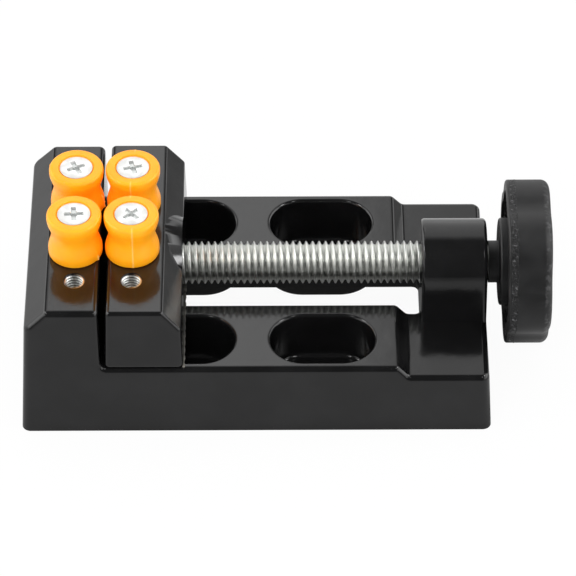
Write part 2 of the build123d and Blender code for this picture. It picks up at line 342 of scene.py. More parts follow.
@dataclass(frozen=True)
class GlossPaint:
    """Black stoving paint over a die casting."""

    name: str = "gloss_paint"
    colour: Colour = (0.0048, 0.0048, 0.005)
    thin: Colour = (0.0075, 0.0075, 0.0078)
    roughness: float = 0.09
    cloud_size: float = 9.0
    clouds: Pair = (0.35, 0.7)
    cloud_dull: float = 0.06
    wave_size: float = 7.0
    wave_depth: float = 0.07
    peel_size: float = 1.1
    peel_depth: float = 0.008
    speck_size: float = 0.35
    specks: Pair = (0.66, 0.74)
    speck_lift: float = 0.5
    speck_dull: float = 0.15
    refraction: float = 1.5

    def make(self) -> bpy.types.Material:
        """Make the material.

        Returns:
            The material, named after the finish.
        """
        material, sheet = new_sheet(self.name)
        cloud = sheet.grain(self.cloud_size, detail=3)
        peel = sheet.grain(self.peel_size, detail=1)
        speck = sheet.grain(self.speck_size).between(*self.specks)
        colour = sheet.mix(cloud.between(*self.clouds), self.colour, self.thin)
        waves = sheet.bump(sheet.grain(self.wave_size, detail=1), self.wave_depth)
        skin = sheet.bump(peel + speck * self.speck_lift, self.peel_depth, waves)
        dull = self.roughness + cloud * self.cloud_dull
        sheet.surface(
            {
                "Base Color": colour,
                "Roughness": dull + speck * self.speck_dull,
                "Normal": skin,
                "IOR": self.refraction,
            }
        )
        return material


@dataclass(frozen=True)
class ZincPlate:
    """Bright zinc plating, finely scratched, with painted shade darkening the screws' recesses
    below a given height.
    """

    name: str = "zinc_plate"
    colour: Colour = (0.9, 0.905, 0.89)
    shade: Colour = (0.74, 0.745, 0.73)
    # Colour of the painted shade in the recesses.
    recess_shade: Colour = (0.5, 0.52, 0.51)
    roughness: float = 0.2
    stretch: Point = (1, 1, 1)
    metallic: float = 1.0
    cloud_size: float = 2.2
    clouds: Pair = (0.35, 0.7)
    scratch_size: float = 0.3
    scratch_depth: float = 0.006
    scratch_dull: float = 0.25
    recess_top: float | None = None
    recess_fade: float = 0.4
    recess_shade_share: float = 0.6
    recess_shade_cloud: float = 0.5

    def make(self) -> bpy.types.Material:
        """Make the material.

        Returns:
            The material, named after the finish.
        """
        material, sheet = new_sheet(self.name)
        cloud = sheet.grain(self.cloud_size, detail=3)
        scratch = sheet.grain(self.scratch_size, stretch=self.stretch)
        colour = sheet.mix(cloud.between(*self.clouds), self.shade, self.colour)
        # Painted shade: below recess_top the colour darkens unevenly, into the screws' cross
        # recesses.
        if self.recess_top is not None:
            height = sheet.split(sheet.place())[2]
            fade = self.recess_top - self.recess_fade
            sunk = 1 - height.between(fade * MM, self.recess_top * MM)
            share = sunk * (self.recess_shade_share + cloud * self.recess_shade_cloud)
            colour = sheet.mix(share, colour, self.recess_shade)
        sheet.surface(
            {
                "Base Color": colour,
                "Metallic": self.metallic,
                "Roughness": self.roughness + (scratch - 0.5) * self.scratch_dull,
                "Normal": sheet.bump(scratch, self.scratch_depth),
            }
        )
        return material


@dataclass(frozen=True)
class ThreadZinc:
    """Zinc on a thread along X or upright, with painted shade darkening its roots unevenly."""

    name: str
    centre: Point
    root: float
    crest: float
    upright: bool = False
    # Weight and ramp of the painted shade from crest to root.
    root_shade: float = 0.45
    root_shade_ramp: Pair = (0.05, 0.95)
    patches: float = 0.3
    colour: Colour = (0.86, 0.87, 0.84)
    # Colour of the painted shade in the roots.
    root_shade_colour: Colour = (0.42, 0.43, 0.4)
    roughness: float = 0.22
    cloud_size: float = 1.6
    scratch_size: float = 0.25
    scratch_stretch: Point = (4, 1, 1)
    scratch_depth: float = 0.012
    scratch_dull: float = 0.22

    def make(self) -> bpy.types.Material:
        """Make the material.

        Returns:
            The material, named after the finish.
        """
        material, sheet = new_sheet(self.name)
        inputs = {"Vector": sheet.place(), "Location": -Vector(self.centre) * MM}
        mapped = sheet.node("ShaderNodeMapping", inputs=inputs)[0]
        x, y, z = sheet.split(mapped)
        across = x * x + y * y if self.upright else y * y + z * z
        inner, outer = sorted((self.root, self.crest))
        height = (across**0.5).between(inner * MM, outer * MM)
        if self.root > self.crest:
            height = 1 - height
        cloud = sheet.grain(self.cloud_size, detail=3)
        # Painted shade: darker from crest to root, made patchy by noise.
        root_shade = (1 - height) * self.root_shade + (cloud - 0.5) * self.patches
        share = root_shade.between(*self.root_shade_ramp)
        scratch = sheet.grain(self.scratch_size, stretch=self.scratch_stretch)
        sheet.surface(
            {
                "Base Color": sheet.mix(share, self.colour, self.root_shade_colour),
                "Metallic": 1.0,
                "Roughness": self.roughness + scratch * self.scratch_dull,
                "Normal": sheet.bump(scratch, self.scratch_depth),
            }
        )
        return material


@dataclass(frozen=True)
class PegPlastic:
    """Orange-yellow moulded plastic with a faint painted orange glow, in place of its fluorescent
    dye, that lifts its shaded sides.
    """

    name: str = "peg_plastic"
    colour: Colour = (1.0, 0.43, 0.008)
    deep: Colour = (1.0, 0.38, 0.006)
    # Colour and strength of the painted glow.
    painted_glow: Colour = (1.0, 0.24, 0.0)
    painted_glow_level: float = 0.2
    seam: Colour = (1.0, 0.78, 0.36)
    seam_share: float = 0.6
    seam_ramp: Pair = (0.2, 1.0)
    roughness: float = 0.32
    cloud_size: float = 5.0
    clouds: Pair = (0.3, 0.75)
    cloud_dull: float = 0.12
    skin_size: float = 0.5
    skin_depth: float = 0.006
    scatter: float = 0.35
    scatter_colour: Colour = (1.0, 0.5, 0.12)
    scatter_reach: float = 1.8

    def make(self) -> bpy.types.Material:
        """Make the material.

        Returns:
            The material, named after the finish.
        """
        material, sheet = new_sheet(self.name)
        cloud = sheet.grain(self.cloud_size)
        skin = sheet.grain(self.skin_size)
        colour = sheet.mix(cloud.between(*self.clouds), self.colour, self.deep)
        seam = sheet.node("ShaderNodeAttribute", {"attribute_name": "seam"})[2]
        share = seam.between(*self.seam_ramp) * self.seam_share
        colour = sheet.mix(share, colour, self.seam)
        sheet.surface(
            {
                "Base Color": colour,
                "Roughness": self.roughness + cloud * self.cloud_dull,
                "Normal": sheet.bump(skin, self.skin_depth),
                "Subsurface Weight": self.scatter,
                "Subsurface Radius": self.scatter_colour,
                "Subsurface Scale": self.scatter_reach * MM,
                # Painted glow: a little orange emission that brightens the shaded sides.
                "Emission Color": (*self.painted_glow, 1.0),
                "Emission Strength": self.painted_glow_level,
            }
        )
        return material


@dataclass(frozen=True)
class WheelPlastic:
    """Black moulded plastic with a satin skin, rough along its parting line, and lighter round the
    rim's end edge: rubbed wear with painted highlight.
    """

    name: str = "wheel_plastic"
    colour: Colour = (0.007, 0.007, 0.0073)
    pale: Colour = (0.014, 0.014, 0.0145)
    # Lighter colour of the parting line's flecks and of the rubbed edge's painted highlight.
    wear_and_sheen: Colour = (0.1, 0.1, 0.103)
    band_start: float = 0.0
    band_end: float = 1.0
    rubbed_sheen_start: float = 2.0
    axis_z: float = 0.0
    face_radius: float = 15.5
    face_fade: float = 1.8
    rubbed_sheen_fade: float = 0.7
    roughness: float = 0.42
    cloud_size: float = 4.0
    clouds: Pair = (0.35, 0.75)
    cloud_share: float = 0.7
    cloud_dull: float = 0.14
    skin_size: float = 0.35
    skin_depth: float = 0.012
    mark_size: float = 0.7
    mark_stretch: Point = (0.7, 1, 1)
    mark_depth: float = 0.5
    flecks: Pair = (0.53, 0.65)
    ragged_size: float = 0.9
    rags: Pair = (0.44, 0.56)
    band_fade: tuple[float, float, float] = (0.3, 0.05, 0.1)
    band_share: float = 0.9
    band_dull: float = 0.1
    rubbed_sheen_size: float = 1.1
    rubbed_sheen_ramp: Pair = (0.46, 0.7)
    rubbed_sheen_share: float = 0.4
    rubbed_sheen_lift: float = 0.2

    def make(self) -> bpy.types.Material:
        """Make the material.

        Returns:
            The material, named after the finish.
        """
        material, sheet = new_sheet(self.name)
        x, y, z = sheet.split(sheet.place())
        z = z - self.axis_z * MM
        fade = self.face_radius + self.face_fade
        edge = ((y * y + z * z) ** 0.5).between(self.face_radius * MM, fade * MM)
        before, inside, after = self.band_fade
        enter = x.between((self.band_start - before) * MM, self.band_start * MM)
        leave = x.between((self.band_end - inside) * MM, (self.band_end + after) * MM)
        ragged = sheet.grain(self.ragged_size, detail=3).between(*self.rags)
        band = enter * (1 - leave) * ragged
        # Rubbed wear and painted highlight: lighter patches round the rim's outer edge near its
        # end.
        rubbed_sheen = x.between((self.rubbed_sheen_start - self.rubbed_sheen_fade) * MM, self.rubbed_sheen_start * MM)
        rubbed_sheen = rubbed_sheen * edge * sheet.grain(self.rubbed_sheen_size, detail=3).between(*self.rubbed_sheen_ramp)
        cloud = sheet.grain(self.cloud_size, detail=3)
        skin = sheet.grain(self.skin_size)
        marks = sheet.grain(self.mark_size, stretch=self.mark_stretch)
        flecks = marks.between(*self.flecks) * band
        share = cloud.between(*self.clouds) * self.cloud_share + band * self.band_share
        plain = sheet.mix(share, self.colour, self.pale)
        wear_and_sheen = flecks + rubbed_sheen * self.rubbed_sheen_share
        rough = sheet.bump(marks * band + rubbed_sheen * self.rubbed_sheen_lift, self.mark_depth)
        dull = self.roughness + cloud * self.cloud_dull
        sheet.surface(
            {
                "Base Color": sheet.mix(wear_and_sheen, plain, self.wear_and_sheen),
                "Roughness": dull + band * self.band_dull,
                "Normal": sheet.bump(skin, self.skin_depth, rough),
            }
        )
        return material


# Work on meshes


def deselect_everything() -> None:
    """Leave edit mode and drop every selection."""
    if bpy.context.mode != "OBJECT":
        bpy.ops.object.mode_set(mode="OBJECT")
    bpy.ops.object.select_all(action="DESELECT")


def take(piece: bpy.types.Object) -> None:
    """Select one piece alone and make it active.

    Args:
        piece: the piece.
    """
    deselect_everything()
    piece.select_set(True)
    bpy.context.view_layer.objects.active = piece


def select(
    piece: bpy.types.Object, grip: Grip, test: Callable[[Vector, Vector], bool]
) -> int:
    """Select parts of a mesh by place and direction.

    Args:
        piece: the piece, in object mode.
        grip: which parts are tested.
        test: takes a part's middle and its normal, or an edge's direction.

    Returns:
        How many parts were selected.
    """
    mesh = piece.data
    for parts in (mesh.vertices, mesh.edges, mesh.polygons):
        parts.foreach_set("select", [False] * len(parts))
    count = 0
    if grip is Grip.FACES:
        for face in mesh.polygons:
            face.select = test(face.center, face.normal)
            count += face.select
    elif grip is Grip.EDGES:
        for edge in mesh.edges:
            a, b = (mesh.vertices[i].co for i in edge.vertices)
            edge.select = test((a + b) / 2, (b - a).normalized())
            count += edge.select
    else:
        for vert in mesh.vertices:
            vert.select = test(vert.co, vert.normal)
            count += vert.select
    return count


@contextmanager
def editing(
    piece: bpy.types.Object,
    grip: Grip = Grip.VERTS,
    test: Callable[[Vector, Vector], bool] | None = None,
) -> Iterator[None]:
    """Hold a piece in edit mode.

    Args:
        piece: the piece.
        grip: select mode.
        test: what to select first; everything if left out.

    Yields:
        Nothing, inside edit mode.
    """
    take(piece)
    if test is not None:
        select(piece, grip, test)
    bpy.ops.object.mode_set(mode="EDIT")
    bpy.ops.mesh.select_mode(type=grip.value)
    if test is None:
        bpy.ops.mesh.select_all(action="SELECT")
    yield
    bpy.ops.object.mode_set(mode="OBJECT")


def tidy(piece: bpy.types.Object, reach: float = 0.001) -> None:
    """Merge doubles and point all faces outwards.

    Args:
        piece: the piece.
        reach: merging distance in millimetres.
    """
    with editing(piece):
        bpy.ops.mesh.remove_doubles(threshold=reach * MM)
        bpy.ops.mesh.normals_make_consistent(inside=False)


def modify(piece: bpy.types.Object, kind: str, **settings: object) -> None:
    """Add a modifier and apply it.

    Args:
        piece: the piece.
        kind: the modifier's type.
        settings: its properties.
    """
    take(piece)
    modifier = piece.modifiers.new(kind.lower(), kind)
    for key, value in settings.items():
        setattr(modifier, key, value)
    bpy.ops.object.modifier_apply(modifier=modifier.name)


def settle(piece: bpy.types.Object) -> None:
    """Put the piece's place, turn and scale into its mesh."""
    take(piece)
    bpy.ops.object.transform_apply(location=True, rotation=True, scale=True)


def smooth(piece: bpy.types.Object, angle: float = 35.0, mode: str = "FACE_AREA") -> None:
    """Shade smooth with sharp edges, and keep flat faces flat beside roundings.

    Args:
        piece: the piece.
        angle: edges sharper than this stay sharp, in degrees.
        mode: what a face's weight comes from.
    """
    take(piece)
    bpy.ops.object.shade_smooth_by_angle(angle=math.radians(angle))
    modify(piece, "WEIGHTED_NORMAL", mode=mode, weight=50, keep_sharp=True)


def move(piece: bpy.types.Object, step: Sequence[float]) -> None:
    """Move a piece's mesh by a step in millimetres."""
    piece.data.transform(Matrix.Translation(Vector(step) * MM))


def turn_upright(piece: bpy.types.Object, angle: float) -> None:
    """Turn a piece's mesh about the upright axis by an angle in degrees."""
    piece.data.transform(Matrix.Rotation(math.radians(angle), 4, "Z"))


def copy_of(piece: bpy.types.Object, name: str, shift: Point = (0, 0, 0)) -> bpy.types.Object:
    """Copy a piece with its own mesh.

    Args:
        piece: what to copy.
        name: name of the copy.
        shift: how far the copy's mesh is moved, in millimetres.

    Returns:
        The copy.
    """
    made = piece.copy()
    made.data = piece.data.copy()
    made.name = name
    bpy.context.scene.collection.objects.link(made)
    move(made, shift)
    return made


def join(pieces: Sequence[bpy.types.Object], name: str) -> bpy.types.Object:
    """Join pieces into the first.

    Args:
        pieces: what to join.
        name: name of the result.

    Returns:
        The joined piece.
    """
    deselect_everything()
    for piece in pieces:
        piece.select_set(True)
    bpy.context.view_layer.objects.active = pieces[0]
    bpy.ops.object.join()
    pieces[0].name = name
    return pieces[0]


def cut(piece: bpy.types.Object, tool: bpy.types.Object) -> None:
    """Take a tool's volume out of a piece and delete the tool."""
    modify(piece, "BOOLEAN", operation="DIFFERENCE", solver="EXACT", object=tool)
    bpy.data.objects.remove(tool)


def block(
    size: Point, place: Point = (0, 0, 0), turn: Point = (0, 0, 0)
) -> bpy.types.Object:
    """Add a box that shapes another piece.

    Args:
        size: its length along each axis, in millimetres.
        place: its middle, in millimetres.
        turn: its turn about each axis, in degrees.

    Returns:
        The box, with its place in its mesh.
    """
    deselect_everything()
    bpy.ops.mesh.primitive_cube_add(size=MM, location=Vector(place) * MM)
    made = bpy.context.active_object
    made.scale = size
    made.rotation_euler = [math.radians(angle) for angle in turn]
    settle(made)
    return made


def turned(name: str, profile: Profile, segments: int = 96) -> bpy.types.Object:
    """Turn a closed profile about the upright axis, ring by ring.

    Args:
        name: name of the piece.
        profile: radius and height of each ring, in millimetres, going round the section. A
            radius of zero closes that end.
        segments: corners of a ring.

    Returns:
        The piece, standing on the origin's axis.
    """
    deselect_everything()
    radius, height = profile[0]
    bpy.ops.mesh.primitive_circle_add(
        vertices=segments, radius=max(radius, POINT_RADIUS) * MM, location=(0, 0, height * MM)
    )
    piece = bpy.context.active_object
    piece.name = name
    settle(piece)
    with editing(piece):
        for r, z in profile[1:]:
            lift = (0, 0, (z - height) * MM)
            bpy.ops.mesh.extrude_region_move(TRANSFORM_OT_translate={"value": lift})
            share = max(r, POINT_RADIUS) / max(radius, POINT_RADIUS)
            bpy.ops.transform.resize(
                value=(share, share, 1), center_override=(0, 0, z * MM)
            )
            radius, height = r, z
    tidy(piece, reach=0.003)
    return piece


def drawn_line(name: str, points: Profile) -> bpy.types.Object:
    """Draw a line in X and Z by extruding one corner.

    Args:
        name: name of the piece.
        points: radius and height of each corner, in millimetres.

    Returns:
        The line as a piece.
    """
    deselect_everything()
    start = points[0]
    bpy.ops.mesh.primitive_plane_add(size=MM, location=(start[0] * MM, 0, start[1] * MM))
    piece = bpy.context.active_object
    piece.name = name
    settle(piece)
    with editing(piece):
        bpy.ops.mesh.merge(type="CENTER")
        for a, b in zip(points, points[1:]):
            step = ((b[0] - a[0]) * MM, 0, (b[1] - a[1]) * MM)
            bpy.ops.mesh.extrude_region_move(TRANSFORM_OT_translate={"value": step})
    return piece


@dataclass(frozen=True)
class Thread:
    """Right-hand metric thread along the upright axis, with rounded crests and roots.

    The crest's flat is a share of the pitch, and its bow and corners are shares of the depth.
    """

    crest: float
    pitch: float
    depth: float
    start: float
    end: float
    steps: int = 48
    flank_angle: float = 30.0
    land_share: float = 1 / 16
    bow_share: float = 0.02
    bow_on_root: float = 0.55
    bow_on_land: float = 0.6
    corner_share: float = 0.1
    corner_rise: float = 0.07
    extra_turns: int = 3
    turns_below: float = 1.5

    def profile(self) -> list[Pair]:
        """Draw the thread's section over one pitch, from root to root.

        Returns:
            Radius and height of its corners, in millimetres.
        """
        half = self.pitch / 2
        land = self.pitch * self.land_share
        slope = self.depth * math.tan(math.radians(self.flank_angle))
        root = self.crest - self.depth
        flat = half - land - slope
        bow = self.bow_share * self.depth
        corner = self.corner_share * self.depth
        lift = self.corner_rise * self.depth
        rise = [
            (root, 0.0),
            (root + bow, flat * self.bow_on_root),
            (root + corner, flat + lift),
            (self.crest - corner, half - land - lift),
            (self.crest - bow, half - land * self.bow_on_land),
            (self.crest, half),
        ]
        fall = [(r, self.pitch - z) for r, z in reversed(rise[:-1])]
        return rise + fall

    def rod(self, name: str) -> bpy.types.Object:
        """Make a closed threaded rod.

        Args:
            name: name of the piece.

        Returns:
            The rod on the upright axis, cut square at both ends.
        """
        turns = math.ceil((self.end - self.start) / self.pitch) + self.extra_turns
        foot = self.start - self.turns_below * self.pitch
        rod = drawn_line(name, [(r, z + foot) for r, z in self.profile()])
        modify(
            rod,
            "SCREW",
            axis="Z",
            angle=2 * math.pi,
            screw_offset=self.pitch * MM,
            iterations=turns,
            steps=self.steps,
            render_steps=self.steps,
        )
        tidy(rod, reach=0.002)
        for height, outer in ((self.end, True), (self.start, False)):
            with editing(rod):
                bpy.ops.mesh.bisect(
                    plane_co=(0, 0, height * MM),
                    plane_no=(0, 0, 1),
                    use_fill=True,
                    clear_outer=outer,
                    clear_inner=not outer,
                )
        tidy(rod, reach=0.0005)
        return rod


# Sub-assemblies


@dataclass
class Assembly:
    """What every sub-assembly needs: the frame's nodes."""

    frame: dict

    def limits(self, node: str) -> tuple[Vector, Vector]:
        """Return the lowest and the highest corner of a CAD node, in millimetres."""
        low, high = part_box(node)
        return low / MM, high / MM

    def middle(self, node: str) -> Vector:
        """Return the middle of a CAD node's box, in millimetres."""
        low, high = self.limits(node)
        return (low + high) / 2

    def mount(self, name: str) -> tuple[Vector, dict]:
        """Look up a mount of the record.

        Args:
            name: the mount's name.

        Returns:
            Its place in millimetres and its sizes.
        """
        found = next(m for m in self.frame["record"]["mounts"] if m["name"] == name)
        return Vector(found["pos_m"]) / MM, found["dims"]

    def solid_copy(self, node: str, name: str) -> bpy.types.Object:
        """Copy a CAD node's mesh as a clean closed one.

        Args:
            node: the CAD node.
            name: name of the copy.

        Returns:
            The copy, merged and without flat triangles.
        """
        source = self.frame["nodes"][node]
        mesh = source.data.copy()
        mesh.name = name
        mesh.materials.clear()
        piece = bpy.data.objects.new(name, mesh)
        bpy.context.scene.collection.objects.link(piece)
        take(piece)
        if mesh.has_custom_normals:
            bpy.ops.mesh.customdata_custom_splitnormals_clear()
        tidy(piece, reach=0.0008)
        with editing(piece):
            bpy.ops.mesh.dissolve_limited(angle_limit=math.radians(FLAT_ANGLE))
        return piece

    def finish(
        self,
        piece: bpy.types.Object,
        body: Body,
        slot: Slot,
        material: bpy.types.Material,
        nodes: Sequence[str] = (),
    ) -> None:
        """Dress a piece and hang it on its body.

        Args:
            piece: the finished piece.
            body: what it rides on.
            slot: the record's slot; not used.
            material: its material.
            nodes: CAD nodes that it stands for.
        """
        piece.data.materials.clear()
        piece.data.materials.append(material)
        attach(piece, body.value)
        if nodes:
            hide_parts(*nodes)
        LOG.info("%s: %d faces on %s", piece.name, len(piece.data.polygons), body.value)


@dataclass
class Castings(Assembly):
    """Base casting and moving jaw."""

    boss_radius: float = 10.9
    boss_slack: float = 0.05
    boss_end: float = 1.0
    boss_taper: float = 0.28
    chamfer_foot: float = 29.5
    foot_drop: float = 5.28
    flash_start: float = -29.3
    flash_end: float = -1.0
    flash_steps: int = 96
    flash_lift: float = 0.38
    flash_out: float = 0.12
    flash_ripples: Pair = (1.7, 0.37)
    flash_core: float = 0.1
    flash_swell: float = 0.26
    flash_paint: GlossPaint = GlossPaint(
        "flash_paint", (0.03, 0.029, 0.026), (0.16, 0.15, 0.13), roughness=0.35
    )

    def draft_boss(self, jaw: bpy.types.Object) -> None:
        """Let the jaw's boss taper towards its end.

        Args:
            jaw: the moving jaw.
        """
        axis = self.middle("lead_screw")
        face = self.limits("moving_jaw")[1].x - self.boss_end
        for vert in jaw.data.vertices:
            out = math.hypot(vert.co.y / MM - axis.y, vert.co.z / MM - axis.z)
            if vert.co.x / MM > face and abs(out - self.boss_radius) < self.boss_slack:
                rise = max(vert.co.z / MM - self.chamfer_foot, 0.0)
                share = 1 - rise * self.boss_taper / out
                vert.co.y *= share
                vert.co.z = (axis.z + (vert.co.z / MM - axis.z) * share) * MM

    def flash(self) -> bpy.types.Object:
        """Make the ragged bead of flash along the moving jaw's foot.

        Returns:
            The bead in its place.
        """
        reach = self.flash_end - self.flash_start
        fine, coarse = self.flash_ripples
        profile = [(0.0, 0.0)]
        for step in range(self.flash_steps + 1):
            swell = abs(math.sin(fine * step) * math.sin(coarse * step + 1))
            radius = self.flash_core + self.flash_swell * swell
            profile.append((radius, reach * step / self.flash_steps))
        bead = turned("jaw_flash", profile + [(0.0, reach)], segments=12)
        bead.rotation_euler = (math.radians(-90), 0, 0)
        edge = self.limits("moving_jaw")[1].x
        foot = self.limits("base_casting")[0].z + self.middle("lead_screw").z - self.foot_drop
        place = (edge + self.flash_out, self.flash_start, foot + self.flash_lift)
        bead.location = Vector(place) * MM
        settle(bead)
        smooth(bead, angle=60)
        return bead

    def build(self, paint: bpy.types.Material) -> None:
        """Make both castings.

        Args:
            paint: their paint.
        """
        for node, body in (("base_casting", Body.BASE), ("moving_jaw", Body.JAW)):
            piece = self.solid_copy(node, node + "_painted")
            if node == "moving_jaw":
                self.draft_boss(piece)
            smooth(piece, angle=32, mode="FACE_AREA_WITH_ANGLE")
            self.finish(piece, body, Slot.PAINT, paint, [node])
        self.finish(self.flash(), Body.JAW, Slot.PAINT, self.flash_paint.make())


@dataclass
class TappedHoles(Assembly):
    """Bright threads inside the empty holes of the jaws."""

    depth: float = 9.8
    proud: float = 0.01
    lining_wall: float = 0.1
    thread_gap: float = 0.02
    pitch: float = 0.8
    cut_depth: float = 0.45
    entry: float = 0.12
    overrun: float = 2.0
    lead_in: float = 1.0
    # Near-black colour of the painted shade in the tapped threads' roots.
    hole_shade_colour: Colour = (0.03, 0.03, 0.03)

    def build(self) -> None:
        """Make one lining and copy it into each hole."""
        radius = self.mount("fixed_jaw_spare_holes")[1]["hole_r_mm"]
        root = radius - self.thread_gap
        deselect_everything()
        middle = self.proud - self.depth / 2
        bpy.ops.mesh.primitive_cylinder_add(
            vertices=64,
            radius=(radius + self.lining_wall) * MM,
            depth=self.depth * MM,
            location=(0, 0, middle * MM),
        )
        lining = bpy.context.active_object
        settle(lining)
        bottom = -self.depth - self.overrun
        thread = Thread(root, self.pitch, self.cut_depth, bottom, self.lead_in)
        cut(lining, thread.rod("tap"))
        mouth = radius + self.lining_wall + self.entry
        cone = [(0, self.entry), (mouth, self.entry), (mouth - 3 * self.entry, -2 * self.entry)]
        cut(lining, turned("countersink", cone + [(0, -2 * self.entry)], segments=64))
        tidy(lining, reach=0.0005)
        smooth(lining, angle=40)
        for jaw, body in (("fixed", Body.BASE), ("moving", Body.JAW)):
            place, sizes = self.mount(f"{jaw}_jaw_spare_holes")
            reach = sizes["spacing_y_mm"] / 2
            for name, side in (("front", -reach), ("back", reach)):
                piece = copy_of(lining, f"thread_{jaw}_{name}", (place.x, side, place.z))
                # Each lining gets painted shade at full weight in its thread roots.
                finish = ThreadZinc(
                    f"tapped_{jaw}_{name}",
                    centre=(place.x, side, 0),
                    root=root,
                    crest=root - self.cut_depth,
                    upright=True,
                    root_shade=1.0,
                    root_shade_colour=self.hole_shade_colour,
                )
                self.finish(piece, body, Slot.ZINC, finish.make())
        bpy.data.objects.remove(lining)


@dataclass
class LeadScrew(Assembly):
    """Threaded spindle with its journal and shank, and the pin that keeps it in the jaw."""

    crest: float = 4.9
    pitch: float = 1.5
    depth: float = 0.9
    journal: Profile = field(
        default_factory=lambda: [
            (0, 0), (3.4, 0), (4, 0.6), (4, 5.25), (3, 5.25), (3, 8.35), (4, 8.35), (4, 9.8),
            (0, 9.8),
        ]
    )
    shank_radius: float = 4.0
    pin_edge: float = 0.5

    def retaining_pin(self) -> bpy.types.Object:
        """Make the pin that holds the journal.

        Returns:
            The pin in its place.
        """
        low, high = self.limits("screw_retaining_pin")
        height = high.z - low.z
        radius = (high.x - low.x) / 2
        nose = radius - self.pin_edge
        profile = [
            (0, 0), (nose, 0), (radius, self.pin_edge), (radius, height - self.pin_edge),
            (nose, height), (0, height),
        ]
        pin = turned("retaining_pin", profile, segments=48)
        place = self.middle("screw_retaining_pin")
        move(pin, (place.x, place.y, low.z))
        smooth(pin)
        return pin

    def build(self, ground: bpy.types.Material) -> None:
        """Make the spindle and its pin.

        Args:
            ground: material of the pin.
        """
        low, high = self.limits("lead_screw")
        axis_z = self.middle("lead_screw").z
        shoulder = low.x + self.journal[-1][1]
        thread_end = self.limits("handwheel")[0].x
        thread = Thread(self.crest, self.pitch, self.depth, shoulder, thread_end)
        rod = thread.rod("lead_screw_thread")
        journal = turned("journal", self.journal, segments=64)
        move(journal, (0, 0, low.x))
        reach = high.x - thread_end
        edge = self.shank_radius
        shank = turned("shank", [(0, 0), (edge, 0), (edge, reach), (0, reach)], segments=48)
        move(shank, (0, 0, thread_end))
        screw = join([rod, journal, shank], "lead_screw_thread")
        screw.rotation_euler = (0, math.radians(90), 0)
        screw.location = (0, 0, axis_z * MM)
        settle(screw)
        smooth(screw, angle=50)
        finish = ThreadZinc(
            "screw_zinc", (0, 0, axis_z), root=self.crest - self.depth, crest=self.crest
        )
        self.finish(screw, Body.SCREW, Slot.ZINC, finish.make(), ["lead_screw"])
        pin = self.retaining_pin()
        self.finish(pin, Body.JAW, Slot.GROUND, ground, ["screw_retaining_pin"])


@dataclass
class Handwheel(Assembly):
    """Lobed wheel with the flash of its parting line."""

    band_from_end: float = 9.1
    band_width: float = 1.2
    ridge_width: float = 0.24
    ridge_lift: float = 0.07
    ridge_reach: float = 0.01
    rim_share: float = 0.82
    rubbed_sheen_width: float = 1.3

    def part_line(self, wheel: bpy.types.Object, ridge: float) -> None:
        """Raise the fine ridge of the parting line round the rim.

        Args:
            wheel: the wheel.
            ridge: its place along the screw's axis, in millimetres.
        """
        half = self.ridge_width / 2
        for x in (ridge - half, ridge, ridge + half):
            with editing(wheel):
                bpy.ops.mesh.bisect(plane_co=(x * MM, 0, 0), plane_no=(1, 0, 0))
        axis = self.middle("lead_screw")
        radius = self.limits("handwheel")[1].z - axis.z

        def crest(place: Vector, _: Vector) -> bool:
            """Tell whether a corner is on the rim's outside in the ridge's plane."""
            out = math.hypot(place.y / MM - axis.y, place.z / MM - axis.z)
            return abs(place.x / MM - ridge) < self.ridge_reach and out > radius * self.rim_share

        share = 1 + self.ridge_lift / radius
        with editing(wheel, Grip.VERTS, crest):
            bpy.ops.transform.resize(value=(1, share, share), center_override=axis * MM)

    def build(self) -> None:
        """Make the wheel."""
        wheel = self.solid_copy("handwheel", "handwheel_moulded")
        end = self.limits("handwheel")[1].x
        band_start = end - self.band_from_end
        band_end = band_start + self.band_width
        self.part_line(wheel, band_end)
        smooth(wheel, angle=32)
        # The finish lightens the rim's end edge: rubbed wear with painted highlight.
        finish = WheelPlastic(
            band_start=band_start,
            band_end=band_end,
            rubbed_sheen_start=end - self.rubbed_sheen_width,
            axis_z=self.middle("lead_screw").z,
        )
        self.finish(wheel, Body.SCREW, Slot.WHEEL, finish.make(), ["handwheel"])


